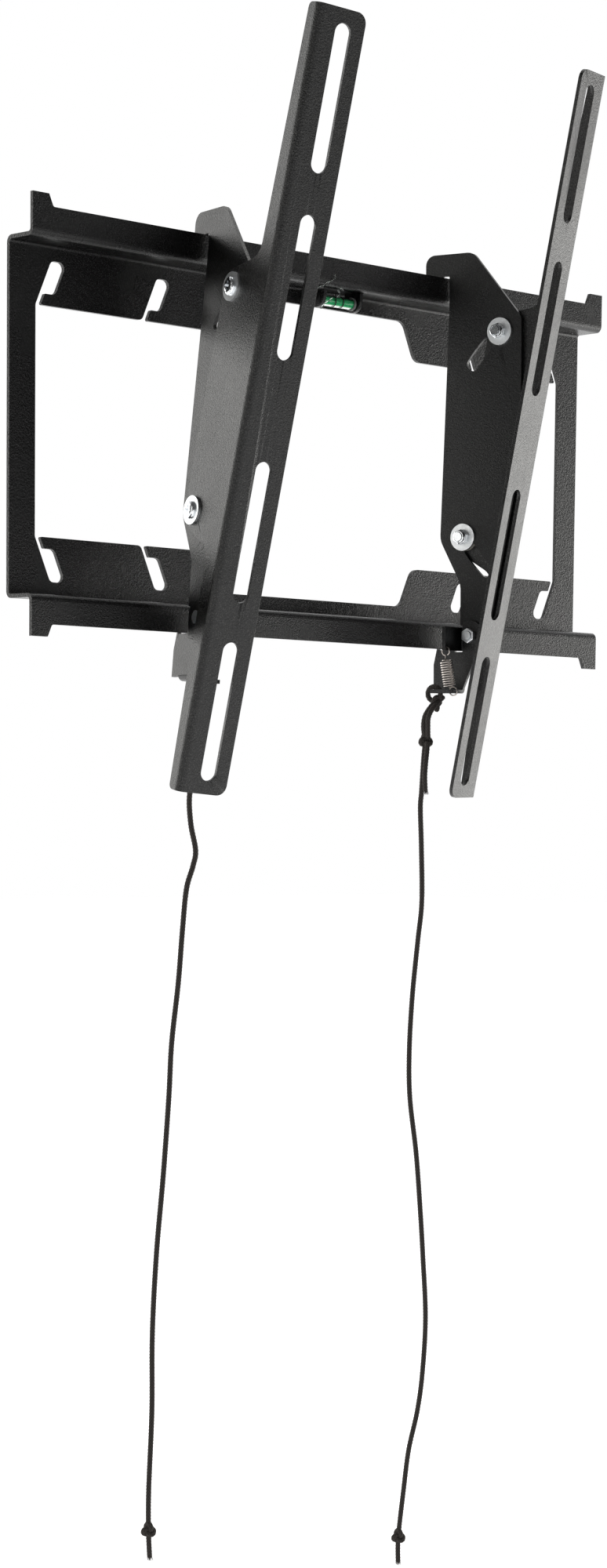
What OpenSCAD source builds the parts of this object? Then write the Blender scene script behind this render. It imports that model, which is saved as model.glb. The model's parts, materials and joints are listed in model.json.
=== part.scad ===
// Tilting wall bracket for a flat screen: one folded wall plate with two rails, and two arms that
// hook over the rails. Each arm tilts on two bolts that run in curved slots of its hook plate, and
// is locked under the bottom rail by a sprung lever with a pull cord.
// X runs along the rails, Y into the wall and Z up. The origin is the middle of the plate, on the wall.

/* [Wall plate] */
// Width of the wall plate
plate_w = 456; // [400:1:500]
// Thickness of the folded sheet
plate_t = 2.2; // [1.8:0.1:2.6]
// Distance from the wall to the front of the rail lips
rail_depth = 22; // [20:0.5:24]
// Height of the shelves above and below the middle
shelf_z = 96; // [94:0.5:98]
// Height of the lip edges above and below the middle
lip_z = 110; // [108:0.5:112]
// Inside radius of the folds in the wall plate
plate_bend_r = 1.6; // [1:0.1:2.4]
// Height of the stop tabs over the lip edges
stop_h = 6.6; // [5:0.2:8]
// Width of a stop tab along its end
stop_w = 11; // [9:0.5:13]
// How far the inner side of a stop tab slopes
stop_slope = 3; // [2:0.5:4]
// Width of the upright strip at each end
strip_w = 17.8; // [15:0.2:20]

/* [Wall plate cut-outs] */
// Half height of the window between the wide screw bands
band_z = 61.8; // [58:0.2:64]
// Half height of the window in the middle, where the bands are narrow
mid_band_z = 84.7; // [82:0.1:86]
// Lean of the slot sides from upright, in degrees
slot_lean = 24; // [20:1:28]
// Distance between the two screw slots of one band
slot_pitch = 75.2; // [70:0.2:80]
// Width of a screw slot along the band
slot_w = 10.8; // [9:0.2:12]
// Height of the closed end of a screw slot
slot_end_z = 85.8; // [84:0.2:87]
// Height of the tooth that closes a screw slot
tooth_h = 6.2; // [5:0.2:8]
// Width of the way in beside a tooth
slot_gate_w = 3.6; // [3:0.2:5]
// Distance of the step in a band from the middle of the plate
step_x = 81.4; // [78:0.2:90]
// Radius of the two corners at a band step
step_r = 7; // [4:0.5:9]

/* [Spirit level] */
// Length of the window that the level's two ears are bent down from
level_w = 27; // [24:0.5:30]
// Place of the level's middle along the shelf
level_x = 5; // [-6:0.5:6]
// Width of an ear
ear_w = 13; // [12:0.2:14]
// Height of an ear's lower end above the middle
ear_low_z = 82.6; // [82:0.1:83.4]
// Diameter of the vial
vial_d = 6.6; // [5.5:0.1:7]
// Distance of the vial from the wall
vial_y = 12; // [11:0.1:12.5]
// Height of the vial's axis above the middle
vial_z = 87.4; // [87:0.1:88.4]

/* [Hook plates] */
// Thickness of the hook plates and arms
arm_t = 2.2; // [1.8:0.1:2.4]
// Height of the hook over the middle of the wall plate
hook_top_z = 124.2; // [120:0.2:128]
// Distance of the hook's back from the wall
hook_back_y = 6.1; // [4:0.1:9]
// Distance of the corner between the hook's top and its slope from the wall
hook_slope_y = 38.2; // [34:0.2:42]
// Distance of the hook plate's front edge from the wall
hook_front_y = 71; // [68:0.2:71.4]
// Height where the hook's slope meets the front edge
hook_shoulder_z = 84.4; // [80:0.2:88]
// Height of the roof of the notch that sits over the top lip
notch_roof_z = 111.3; // [111:0.1:112]
// Free room in the notch before the lip
notch_front_room = 0.25; // [0.2:0.05:0.5]
// Free room in the notch behind the lip
notch_back_room = 2.5; // [2.45:0.05:2.8]
// Height of the hook's tip behind the lip
hook_tip_z = 99; // [98:0.5:102]
// Depth of the belly, where the back edge comes nearest to the wall
belly_y = 16.5; // [15:0.1:18]
// Height of the belly below the middle
belly_z = 44.5; // [40:0.5:48]
// Distance of the recess over the bottom rail from the wall
recess_y = 30.6; // [30:0.2:32]
// Height of the recess corner below the middle
recess_z = 71; // [66:0.5:74]
// Height of the hook plate's lower end below the middle
tail_z = 114; // [112:0.5:116]
// Room between the hook plate and the front sheet of the arm
sheet_room = 6.5; // [6:0.1:7.5]

/* [Tilt arms] */
// Length of an arm
arm_l = 425; // [420:1:440]
// Width of the arm's front sheet
arm_face_w = 30.7; // [28:0.1:33]
// Outside radius of the fold in an arm
arm_bend_r = 3.9; // [3:0.1:4.5]
// Lean of the arms in the pose shown, in degrees
tilt_rest = 11.5; // [10:0.5:11.5]
// Distance of the tilt's centre before the front sheet
tilt_centre = 31; // [30:0.5:33]
// Distance of the tilt's centre from the wall
tilt_y = 111.7; // [110:0.1:113]
// Height of the tilt's centre over the middle
tilt_z = 3.1; // [1:0.1:4]
// Distance of the tilt bolts behind the front sheet
bolt_back = 37.5; // [36:0.5:38]
// Distance of each tilt bolt from the arm's middle
bolt_s = 61.2; // [58:0.2:64]
// Angle that the tilt slots sweep, in degrees
slot_sweep = 16; // [15:0.5:17]
// Width of the tilt slots
tilt_slot_w = 8.2; // [7.8:0.1:8.6]
// Width of the slots for the screen's screws
screen_slot_w = 10; // [8:0.5:11]
// Distance of the screen slots' middle line from the side sheet
screen_slot_x = 17.6; // [16.5:0.1:18.5]
// Width of the side sheet at the arm's ends
side_end_w = 10.2; // [9:0.1:12]
// Width of the side sheet beside its wing
side_neck_w = 14.8; // [13:0.1:16]
// Width of the side sheet's wing
wing_w = 46.8; // [46.6:0.1:49]
// Half length of the wing at its edge
wing_s = 68.5; // [66:0.5:71]
// Half length of the wing at its foot
wing_foot_s = 80; // [77:0.5:83]

/* [Hanging of the arms] */
// Place of the left hook plate along the rails
left_x = 112.3; // [105:0.2:140]
// Turn of the left arm on the rails, in degrees
left_yaw = 10.9; // [0:0.1:11]
// Lean of the left arm's top towards the middle, in degrees
left_lean = 4.6; // [0:0.1:4.6]
// Place of the right hook plate along the rails
right_x = 89.6; // [85:0.2:140]
// Turn of the right arm on the rails, in degrees
right_yaw = 14.7; // [0:0.1:16]
// Lean of the right arm's top towards the middle, in degrees
right_lean = 1.2; // [0:0.1:2]

/* [Fasteners] */
// Diameter of the tilt bolts
bolt_d = 5; // [4.5:0.5:6]
// Diameter of the tilt bolts' heads
bolt_head_d = 10; // [9:0.5:12]
// Height of the tilt bolts' heads
bolt_head_h = 2.4; // [2.2:0.2:4]
// Diameter of the washers
washer_d = 16; // [15:0.2:18]
// Thickness of the washers
washer_t = 1.5; // [1.2:0.1:1.6]
// Distance across the flats of the lock nuts
nut_af = 8.2; // [8:0.2:10]
// Height of the lock nuts' hexagon
nut_h = 3.4; // [3:0.2:5]
// Thickness of the sliding bushes' flange between arm and hook plate
bush_t = 0.6; // [0.5:0.1:0.8]

/* [Latch] */
// Distance of the lever's pivot from the wall
pivot_y = 38.5; // [38:0.1:39]
// Height of the lever's pivot below the middle
pivot_z = 102; // [101.5:0.1:102.5]
// Diameter of the lever's pivot stud
stud_d = 5; // [4:0.5:5]
// Radius of the lever's round end
lever_r = 9; // [8:0.2:9.2]
// Distance of the lever's back edge from the wall
lever_back_y = 13.6; // [13:0.1:14]
// Height of the lever's foot below the middle
foot_z = 136.5; // [136:0.1:137]
// Length of the lever's foot
foot_l = 19.5; // [18:0.5:21]
// Distance of the foot's back edge from the wall
foot_back_y = 20.8; // [20:0.2:21.5]
// Distance of the foot's front edge from the wall
foot_front_y = 34; // [33:0.2:34.4]
// Height of the lever's tooth below the middle
tooth_tip_z = 107.5; // [107:0.1:108]
// Length of the spring tab of the hook plate
tab_l = 22; // [20:0.5:23]
// Height of the spring tab's lower edge below the middle
tab_low_z = 111; // [110.5:0.1:111.2]
// Outside diameter of the springs
spring_d = 7.6; // [6.5:0.1:8]
// Wire of the springs
wire_d = 1; // [0.8:0.1:1.2]
// Number of turns of a spring
spring_turns = 15; // [10:1:16]

/* [Pull cords] */
// Diameter of the pull cords
cord_d = 3; // [2.5:0.1:3.5]
// Diameter of the knots
knot_d = 6.4; // [6:0.2:8]

/* [Hidden] */

// Extra length of a cutting shape past the face it cuts
overrun = 1;
// Largest turn of one step along a rounded corner, in degrees
arc_step = 15;
// Number of sides of round solids
round_fn = 72;
// Number of sides of thin wires and of the turns of a spring
wire_fn = 16;
coil_fn = 36;

// Radius at the closed end of a screw slot, at its inner corner and at its tooth
slot_end_r = 3.4;
slot_inner_r = 4;
tooth_r = 0.9;
lip_corner_r = 1.6;
window_x = plate_w / 2 - strip_w;
slot_run = tan(slot_lean);
profile_top_z = lip_z + stop_h;
shelf_under_z = shelf_z - plate_t;
lip_back_y = rail_depth - plate_t;

// Level: the shelf's ears hold the vial at its ends
ear_off_y = 0.3;
ear_y = vial_y - ear_off_y;
vial_fit = 0.1;
vial_wall = 0.8;
vial_end_wall = 2.6;
liquid_fit = 0.05;
ear_fold_r = plate_bend_r + plate_t;
vial_l = level_w + 2 * plate_t;

// Stack along a tilt bolt, as distances inward from the outer face of the arm's side sheet
hook_out_x = arm_t + bush_t;
hook_in_x = hook_out_x + arm_t;
backing_in_x = hook_in_x + washer_t;
nut_in_x = backing_in_x + nut_h;
collar_h = 1.6;
collar_share = 0.9;
bolt_end_play = 0.6;
bolt_in_x = nut_in_x + collar_h + bolt_end_play;
hole_room = 0.2;
slot_room = 0.15;
thread_room = 0.03;
slot_end_turn = 0.4;
recess_arm = 5;
recess_w = 1.1;
recess_depth = 1.4;
head_edge_h = 0.8;

// Hook plate: corner radii and small places
hook_back_r = 6;
hook_slope_r = 8;
hook_shoulder_r = 8;
waist_r = 30;
notch_corner_r = 0.9;
hook_tip_r = 2.5;
hook_tip_rise = 2.5;
belly_r = 12;
belly_shoulder_z = 90;
belly_blend_r = 40;
tail_r = 5;
tab_r = 1;
tab_top_z = 97;
tab_relief_z = 1.2;
tab_hole_d = 2.4;
tab_hole_up = 2;
tab_hole_side = 2.6;
notch_front_y = rail_depth + notch_front_room;
notch_back_y = lip_back_y - notch_back_room;

// Arm: places in the frame whose origin is on the front sheet's outer corner, at the arm's middle
wing_r = 10;
wing_foot_r = 10;
end_r = 3;
face_corner_r = 6;
screen_slots = [[27.5, 105], [127, 205]];
fold_in_r = arm_bend_r - arm_t;
tilt_reach = tilt_centre + bolt_back;
tilt_radius = norm([tilt_reach, bolt_s]);
bolt_turn = atan2(bolt_s, tilt_reach);
sheet_line_y = tilt_y - (tilt_centre + arm_t) / cos(tilt_rest) - tilt_z * tan(tilt_rest)
  - sheet_room;
function sheet_y(z) = sheet_line_y + z * tan(tilt_rest);
waist_z = (hook_front_y - sheet_line_y) / tan(tilt_rest);

// Latch: places on the lever, and running room beside it
lever_room = 0.2;
lever_out_x = hook_in_x + lever_room;
lever_in_x = lever_out_x + arm_t;
stud_room = 0.08;
stud_press_room = 0.02;
stud_head_d = 7.4;
stud_head_h = 0.9;
latch_nut_af = 8;
latch_nut_h = 3.4;
latch_nut_room = 0.1;
stud_end_play = 1;
lever_heel_y = 33.4;
lever_floor_z = 113.3;
tooth_front_y = 17.2;
tooth_tip_w = 0.9;
tooth_foot_z = 119;
tooth_edge_r = 0.4;
lever_corner_r = 1.5;
fold_r = 3.2;
cord_hole_room = 0.9;
cord_hole_back = 5;
cord_hole_y = foot_back_y + cord_hole_back;
cord_hole_x = lever_in_x + 13.6;
spring_hole_y = foot_front_y - 2.2;
spring_hole_x = lever_in_x + 12.6;
spring_hole_d = 2.6;
spring_ring_r = 2.5;
spring_gap_z = 2.4;
flat_share = 0.3;
stem_share = 1.2;
tab_y = recess_y - 1.4;
tab_hole_x = hook_out_x + tab_l - tab_hole_side;
tie_r = 4.3;
tie_gap = 0.15;
tie_over = 1;
tie_turn = 25;

// Cords: routes from the tie to the free end, seen from the front
cord_sides = 8;
cord_steps = 2;
LEFT_ROUTE = [[-107, -25, -142], [-108, -24, -165], [-110, -22, -185], [-113, -20, -200],
  [-112, -20, -216], [-110, -22, -231], [-111, -21, -240], [-114, -19, -253], [-115, -17, -276],
  [-117, -16, -306], [-119, -13, -340], [-120, -12, -371], [-122, -10, -415], [-125, -8, -460],
  [-126, -6, -506], [-126, -6, -551], [-128, -6, -596], [-128, -6, -620], [-127, -6, -636]];
RIGHT_ROUTE = [[78, -27.5, -141], [74, -26.5, -145], [71, -25, -150], [70.5, -24, -155],
  [71.3, -23.5, -160], [73.5, -23, -165], [72.5, -23, -171], [71.7, -23, -179], [71, -22.5, -196],
  [70.7, -22, -206], [72, -22, -229], [73, -22, -262], [71, -21, -286], [69, -19, -319], [68, -18, -352],
  [69, -18, -381], [72, -21, -415], [74, -23, -448], [75, -25, -478], [77, -26, -516], [76, -25, -550],
  [74, -23, -574], [70, -20, -598], [68, -18, -623], [66, -16, -652], [66, -16, -668]];
RIGHT_KNOT = [73.5, -23, -165];
LEFT_END = [-128, -6, -620];
RIGHT_END = [66, -16, -652];

// Corner p between a and b, rounded to the radius that p holds as its third value
function unit(v) = v / norm(v);
function corner(p, a, b) =
  let (q = [p.x, p.y], u = unit([a.x, a.y] - q), v = unit([b.x, b.y] - q))
  p.z == 0 ? [q] :
  let (half = acos(u * v) / 2, c = q + unit(u + v) * p.z / sin(half),
    s = q + u * p.z / tan(half) - c, e = q + v * p.z / tan(half) - c, from = atan2(s.y, s.x),
    turn = ((atan2(e.y, e.x) - from + 540) % 360) - 180, steps = max(2, ceil(abs(turn) / arc_step)))
  [for (k = [0:steps]) c + p.z * [cos(from + turn * k / steps), sin(from + turn * k / steps)]];
function rounded(pts) = let (n = len(pts))
  [for (i = [0:n - 1]) each corner(pts[i], pts[(i + n - 1) % n], pts[(i + 1) % n])];

// Point t of the way from b to c on a smooth curve through a, b, c and d
function curve(a, b, c, d, t) = 0.5 * (2 * b + (c - a) * t + (2 * a - 5 * b + 4 * c - d) * t * t
  + (3 * b - a - 3 * c + d) * t * t * t);
function smooth(pts, steps) = let (last = len(pts) - 1) [
  for (i = [0:last - 1]) for (k = [0:steps - 1])
    curve(pts[max(i - 1, 0)], pts[i], pts[i + 1], pts[min(i + 2, last)], k / steps),
  pts[last]];

// Sheet t thick whose outline lies in Y and Z, from x towards +X
module side_sheet(x, t) {
  translate([x, 0, 0])
    rotate([90, 0, 90])
      linear_extrude(height = t)
        children();
}

// Sheet t thick whose outline lies in X and Z, from y towards -Y
module front_sheet(y, t) {
  translate([0, y, 0])
    rotate([90, 0, 0])
      linear_extrude(height = t)
        children();
}

// Frames of the two hook plates: X outward, with the arm's side sheet at X = 0
module on_left() {
  translate([-left_x, 0, 0])
    rotate([0, left_lean, -left_yaw])
      mirror([1, 0, 0])
        children();
}
module on_right() {
  translate([right_x, 0, 0])
    rotate([0, -right_lean, right_yaw])
      children();
}

// Frame of an arm: its front sheet's outer corner at Y = 0, its middle at Z = 0
module in_arm() {
  translate([0, -tilt_y, tilt_z])
    rotate([tilt_rest, 0, 0])
      translate([0, tilt_centre, 0])
        children();
}

// Rod along X from inside to outside, as distances inward from the arm's side sheet
module cross_rod(d, inside, outside, fn = round_fn) {
  translate([-inside, 0, 0])
    rotate([0, 90, 0])
      cylinder(d = d, h = inside - outside, $fn = fn);
}

// Quarter of the window in the wall plate
module window_quarter() {
  polygon(rounded(concat(
    [[-overrun, -overrun, 0], [window_x, -overrun, 0]],
    [for (k = [0, 1]) each slot_corners(window_x - k * slot_pitch)],
    [[step_x, band_z, step_r], [step_x - (mid_band_z - band_z) * slot_run, mid_band_z, step_r],
      [-overrun, mid_band_z, 0]])));
}

// Corners of one screw slot whose outer side leaves the band's edge at x
function slot_corners(x) =
  let (tooth_z = band_z + tooth_h, end_x = x - (slot_end_z - band_z) * slot_run)
  [[x, band_z, slot_end_r], [end_x, slot_end_z, slot_end_r], [end_x - slot_w, slot_end_z, slot_end_r],
    [end_x - slot_w + (slot_end_z - tooth_z) * slot_run, tooth_z, slot_inner_r],
    [x - tooth_h * slot_run - slot_gate_w, tooth_z, tooth_r], [x - slot_gate_w, band_z, tooth_r]];

// Room above the lip between the two stop tabs
module lip_room() {
  top_x = plate_w / 2 - stop_w;
  base_x = top_x - stop_slope;
  polygon(rounded([[-base_x, lip_z, lip_corner_r], [base_x, lip_z, lip_corner_r],
    [top_x, profile_top_z, 0], [top_x, profile_top_z + overrun, 0],
    [-top_x, profile_top_z + overrun, 0], [-top_x, profile_top_z, 0]]));
}

module wall_plate() {
  outer_r = plate_bend_r + plate_t;
  upper = [[0, shelf_z, outer_r], [-lip_back_y, shelf_z, plate_bend_r], [-lip_back_y, profile_top_z, 0],
    [-rail_depth, profile_top_z, 0], [-rail_depth, shelf_under_z, outer_r],
    [-plate_t, shelf_under_z, plate_bend_r]];
  lower = [for (i = [5:-1:0]) [upper[i].x, -upper[i].y, upper[i].z]];
  color("#26272a")
    difference() {
      side_sheet(-plate_w / 2, plate_w)
        polygon(rounded(concat(upper, lower)));
      front_sheet(overrun, plate_t + 2 * overrun)
        for (sx = [0, 1]) for (sz = [0, 1])
          mirror([sx, 0]) mirror([0, sz]) window_quarter();
      for (sz = [0, 1]) mirror([0, 0, sz])
        front_sheet(-lip_back_y + overrun, plate_t + 2 * overrun)
          lip_room();
      translate([level_x - level_w / 2 - ear_fold_r, -ear_y - ear_w / 2, shelf_under_z - overrun])
        cube([level_w + 2 * ear_fold_r, ear_w, plate_t + 2 * overrun]);
    }
  for (side = [0, 1])
    color("#26272a")
      translate([level_x, -ear_y, 0])
        mirror([side, 0, 0])
          level_ear();
}

// Ear bent down from the shelf, with a hole for the vial's end
module level_ear() {
  fold_z = shelf_z - ear_fold_r;
  round_z = ear_low_z + ear_w / 2;
  translate([level_w / 2 + ear_fold_r, ear_w / 2, fold_z])
    rotate([90, -90, 0])
      rotate_extrude(angle = 90, $fn = round_fn)
        translate([plate_bend_r, 0])
          square([plate_t, ear_w]);
  difference() {
    union() {
      translate([level_w / 2, -ear_w / 2, round_z])
        cube([plate_t, ear_w, fold_z - round_z]);
      translate([0, 0, round_z])
        cross_rod(ear_w, -level_w / 2, -level_w / 2 - plate_t);
    }
    translate([0, ear_y - vial_y, vial_z])
      cross_rod(vial_d + 2 * vial_fit, -level_w / 2 + overrun, -level_w / 2 - plate_t - overrun);
  }
}

module level_vial() {
  color([0.8, 0.95, 0.85, 0.4])
    translate([level_x, -vial_y, vial_z])
      difference() {
        cross_rod(vial_d, vial_l / 2, -vial_l / 2);
        cross_rod(vial_d - 2 * vial_wall, vial_l / 2 - vial_end_wall, vial_end_wall - vial_l / 2);
      }
}

module level_liquid() {
  color([0.1, 0.8, 0.35])
    translate([level_x, -vial_y, vial_z])
      cross_rod(vial_d - 2 * (vial_wall + liquid_fit),
        vial_l / 2 - vial_end_wall - liquid_fit, vial_end_wall + liquid_fit - vial_l / 2);
}

// Outline of a curved slot of radius r and width w between the angles a and b, with round ends
function arc_slot(r, w, a, b) =
  let (n = ceil(b - a), ends = 180 / arc_step, mid_a = r * [cos(a), sin(a)], mid_b = r * [cos(b), sin(b)])
  concat(
    [for (k = [0:n]) let (t = a + (b - a) * k / n) (r + w / 2) * [cos(t), sin(t)]],
    [for (k = [1:ends - 1]) let (t = b + arc_step * k) mid_b + w / 2 * [cos(t), sin(t)]],
    [for (k = [n:-1:0]) let (t = a + (b - a) * k / n) (r - w / 2) * [cos(t), sin(t)]],
    [for (k = [1:ends - 1]) let (t = a + 180 + arc_step * k) mid_a + w / 2 * [cos(t), sin(t)]]);

// Curved slot about the tilt's centre, from its bolt's angle at rest back by the slot's sweep
module tilt_slot(turn) {
  from = tilt_rest + turn - slot_sweep;
  translate([0, -tilt_y, tilt_z])
    side_sheet(-hook_in_x - overrun, arm_t + 2 * overrun)
      polygon(arc_slot(tilt_radius, tilt_slot_w, from, from + slot_sweep + slot_end_turn));
}

// Flat sheet folded inward from the hook plate for the spring to hang from
module spring_tab() {
  height = tab_low_z - tab_top_z;
  translate([-hook_out_x - fold_r, -tab_y - fold_r, -tab_low_z])
    rotate_extrude(angle = 90, $fn = round_fn)
      translate([fold_r - arm_t, 0])
        square([arm_t, height]);
  translate([-hook_out_x - tab_l, -tab_y - arm_t, -tab_low_z])
    cube([tab_l - fold_r, arm_t, height]);
}

module hook_plate() {
  color("#2b2c2f")
    difference() {
      union() {
        side_sheet(-hook_in_x, arm_t)
          polygon(rounded([
            [-hook_back_y, hook_top_z, hook_back_r], [-hook_slope_y, hook_top_z, hook_slope_r],
            [-hook_front_y, hook_shoulder_z, hook_shoulder_r], [-hook_front_y, waist_z, waist_r],
            [-sheet_y(-tail_z), -tail_z, tail_r], [-tab_y - fold_r, -tail_z, tab_r],
            [-tab_y - fold_r, -tab_top_z + tab_relief_z, 0], [-recess_y, -tab_top_z + tab_relief_z, tab_r / 2],
            [-recess_y, -recess_z, belly_r], [-belly_y, -belly_z, belly_r],
            [-notch_front_y, belly_shoulder_z, belly_blend_r],
            [-notch_front_y, notch_roof_z, notch_corner_r],
            [-notch_back_y, notch_roof_z, notch_corner_r],
            [-notch_back_y, hook_tip_z, hook_tip_r],
            [-hook_back_y, hook_tip_z + hook_tip_rise, hook_tip_r]]));
        spring_tab();
      }
      tilt_slot(bolt_turn);
      tilt_slot(-bolt_turn);
      translate([0, -pivot_y, -pivot_z]) {
        cross_rod(stud_d + 2 * stud_press_room, hook_in_x + overrun, hook_out_x - overrun);
        cross_rod(stud_head_d + 2 * stud_press_room, hook_out_x + stud_head_h, hook_out_x - overrun);
      }
      translate([-tab_hole_x, -tab_y - arm_t - overrun, -tab_low_z + tab_hole_up])
        rotate([-90, 0, 0])
          cylinder(d = tab_hole_d, h = arm_t + 2 * overrun, $fn = round_fn);
    }
}

module tilt_arm() {
  half = arm_l / 2;
  color("#303134")
    in_arm()
      difference() {
        translate([0, 0, -half])
          linear_extrude(height = arm_l)
            arm_section();
        side_sheet(-arm_t - overrun, arm_t + 2 * overrun)
          difference() {
            translate([arm_bend_r, -half - overrun])
              square([wing_w, arm_l + 2 * overrun]);
            polygon(rounded([
              [0, -half, 0], [side_end_w, -half, end_r],
              [side_neck_w, -wing_foot_s, wing_foot_r], [wing_w, -wing_s, wing_r],
              [wing_w, wing_s, wing_r], [side_neck_w, wing_foot_s, wing_foot_r],
              [side_end_w, half, end_r], [0, half, 0]]));
          }
        for (s = [-bolt_s, bolt_s])
          translate([0, bolt_back, s])
            cross_rod(bolt_d + 2 * hole_room, arm_t + overrun, -overrun);
        front_sheet(arm_t + overrun, arm_t + 2 * overrun)
          difference() {
            translate([-screen_slot_x - arm_face_w, -half - overrun])
              square([arm_face_w, arm_l + 2 * overrun]);
            polygon(rounded([[0, -half, 0], [-arm_face_w, -half, face_corner_r],
              [-arm_face_w, half, face_corner_r], [0, half, 0]]));
          }
        for (side = [-1, 1]) for (ends = screen_slots)
          screen_slot(side * ends[0], side * ends[1]);
      }
}

// Folded section of an arm: the side sheet, the fold and the front sheet
module arm_section() {
  polygon(rounded([[0, 0, arm_bend_r], [0, wing_w, 0], [-arm_t, wing_w, 0], [-arm_t, arm_t, fold_in_r],
    [-arm_face_w, arm_t, 0], [-arm_face_w, 0, 0]]));
}

// Slot for the screen's screws between two heights, cut through the front sheet
module screen_slot(a, b) {
  low = min(a, b) + screen_slot_w / 2;
  high = max(a, b) - screen_slot_w / 2;
  translate([-screen_slot_x, arm_t + overrun, 0])
    rotate([90, 0, 0])
      linear_extrude(height = arm_t + 2 * overrun) {
        for (z = [low, high])
          translate([0, z])
            circle(d = screen_slot_w, $fn = round_fn);
        translate([-screen_slot_w / 2, low])
          square([screen_slot_w, high - low]);
      }
}

// Place of a tilt bolt: end is 1 for the upper one and -1 for the lower one
module at_bolt(end) {
  in_arm()
    translate([0, bolt_back, end * bolt_s])
      children();
}

module tilt_bolt() {
  color("#c9ccd0")
    difference() {
      union() {
        cross_rod(bolt_d, bolt_in_x, -washer_t);
        translate([washer_t, 0, 0])
          rotate([0, 90, 0])
            rotate_extrude($fn = round_fn)
              polygon(head_profile());
      }
      for (turn = [0, 90])
        rotate([turn, 0, 0])
          translate([washer_t + bolt_head_h - recess_depth, -recess_arm / 2, -recess_w / 2])
            cube([recess_depth + overrun, recess_arm, recess_w]);
    }
}

// Half section of a pan head, domed over a short straight edge
function head_profile() =
  let (r = bolt_head_d / 2, dome = bolt_head_h - head_edge_h)
  concat([[0, 0], [r, 0]], [for (a = [0:arc_step:90]) [r * cos(a), head_edge_h + dome * sin(a)]]);

module ring(d, bore, inside, outside) {
  difference() {
    cross_rod(d, inside, outside);
    cross_rod(bore, inside + overrun, outside - overrun);
  }
}

module outer_washer() {
  color("#d4d6da")
    ring(washer_d, bolt_d + 2 * hole_room, 0, -washer_t);
}

module backing_washer() {
  color("#d4d6da")
    ring(washer_d, bolt_d + 2 * hole_room, backing_in_x, hook_in_x);
}

module slide_bush() {
  color("#e8e6dc")
    difference() {
      union() {
        cross_rod(washer_d, hook_out_x, arm_t);
        cross_rod(tilt_slot_w - 2 * slot_room, hook_in_x, hook_out_x);
      }
      cross_rod(bolt_d + 2 * hole_room, hook_in_x + overrun, arm_t - overrun);
    }
}

module lock_nut() {
  across = nut_af / cos(30);
  color("#d4d6da")
    difference() {
      union() {
        cross_rod(across, nut_in_x, backing_in_x, 6);
        cross_rod(nut_af * collar_share, nut_in_x + collar_h, nut_in_x);
      }
      cross_rod(bolt_d + 2 * thread_room, nut_in_x + collar_h + overrun, backing_in_x - overrun);
    }
}

module at_pivot() {
  translate([0, -pivot_y, -pivot_z])
    children();
}

module latch_stud() {
  end_x = lever_in_x + latch_nut_room + latch_nut_h + stud_end_play;
  color("#c9ccd0")
    at_pivot() {
      cross_rod(stud_d, end_x, hook_out_x);
      cross_rod(stud_head_d, hook_out_x + stud_head_h, hook_out_x);
    }
}

module latch_nut() {
  from = lever_in_x + latch_nut_room;
  color("#d4d6da")
    at_pivot()
      difference() {
        cross_rod(latch_nut_af / cos(30), from + latch_nut_h, from, 6);
        cross_rod(stud_d + 2 * thread_room, from + latch_nut_h + overrun, from - overrun);
      }
}

module latch_lever() {
  foot_top_z = foot_z - arm_t;
  color("#2e2f32")
    difference() {
      union() {
        side_sheet(-lever_in_x, arm_t) {
          intersection() {
            translate([-pivot_y, -pivot_z])
              circle(r = lever_r, $fn = round_fn);
            translate([-pivot_y - lever_r, -pivot_z - lever_r])
              square([pivot_y + lever_r - lever_heel_y, 2 * lever_r]);
          }
          polygon(rounded([
            [-lever_heel_y, -pivot_z, 0], [-lever_heel_y, -lever_floor_z, lever_corner_r],
            [-tooth_front_y, -lever_floor_z, lever_corner_r],
            [-tooth_front_y, -tooth_tip_z, tooth_edge_r],
            [-tooth_front_y + tooth_tip_w, -tooth_tip_z, tooth_edge_r],
            [-lever_back_y, -tooth_foot_z, lever_corner_r], [-lever_back_y, -foot_top_z, 0],
            [-foot_back_y, -foot_top_z, 0], [-foot_back_y, -foot_z + fold_r, 0],
            [-foot_front_y, -foot_z + fold_r, 0],
            [-pivot_y - lever_r, -pivot_z, 0]]));
        }
        translate([-lever_out_x - fold_r, -foot_back_y, -foot_z + fold_r])
          rotate([90, 90, 0])
            rotate_extrude(angle = 90, $fn = round_fn)
              translate([fold_r - arm_t, 0])
                square([arm_t, foot_front_y - foot_back_y]);
        translate([-lever_out_x - foot_l, -foot_front_y, -foot_z])
          cube([foot_l - fold_r, foot_front_y - foot_back_y, arm_t]);
      }
      at_pivot()
        cross_rod(stud_d + 2 * stud_room, lever_in_x + overrun, lever_out_x - overrun);
      foot_hole(cord_hole_x, cord_hole_y, cord_d + 2 * cord_hole_room);
      foot_hole(spring_hole_x, spring_hole_y, spring_hole_d);
    }
}

module foot_hole(x, y, d) {
  translate([-x, -y, -foot_z - overrun])
    cylinder(d = d, h = arm_t + 2 * overrun, $fn = round_fn);
}

// Wire ring about X
module wire_ring(r, d) {
  rotate([0, 90, 0])
    rotate_extrude($fn = coil_fn)
      translate([r, 0])
        circle(d = d, $fn = wire_fn);
}

// Half section of a close wound coil of the given height
function coil_profile(height) =
  let (out = spring_d / 2, pitch = height / spring_turns, groove = wire_d / 4)
  concat([[0, 0]],
    [for (i = [0:spring_turns - 1]) each [[out - groove, i * pitch], [out, (i + flat_share) * pitch],
      [out, (i + 1 - flat_share) * pitch]]],
    [[out - groove, height], [0, height]]);

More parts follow.
